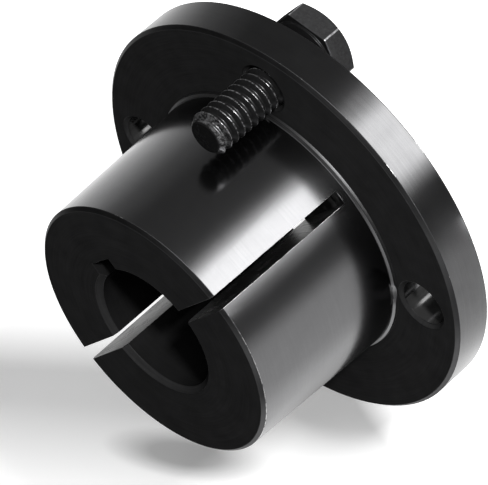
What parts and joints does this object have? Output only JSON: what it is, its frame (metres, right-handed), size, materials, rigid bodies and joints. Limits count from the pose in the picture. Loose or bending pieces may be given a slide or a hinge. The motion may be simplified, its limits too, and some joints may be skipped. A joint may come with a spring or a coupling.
{
  "type": "taper bush",
  "caption": "Flanged split taper bush with a keyed bore, saw slits along its tapered barrel and a hex cap screw in its flange.",
  "frame": {"origin": "centre of the bore at the flange's back face, which is the centre of the bolt circle", "axes": "+Z along the bore axis, towards the barrel's nose; +X through a clearance hole; +Y through the tapped hole that holds the cap screw"},
  "size_m": [0.0635, 0.0634, 0.0374],
  "materials": {
    "bush_steel": "black oxide over fine turning",
    "screw_steel": "black oxide over rolled thread and forged head"
  },
  "bodies": {
    "root": {"bush": "bush_steel", "cap_screw": "screw_steel"}
  },
  "joints": []
}
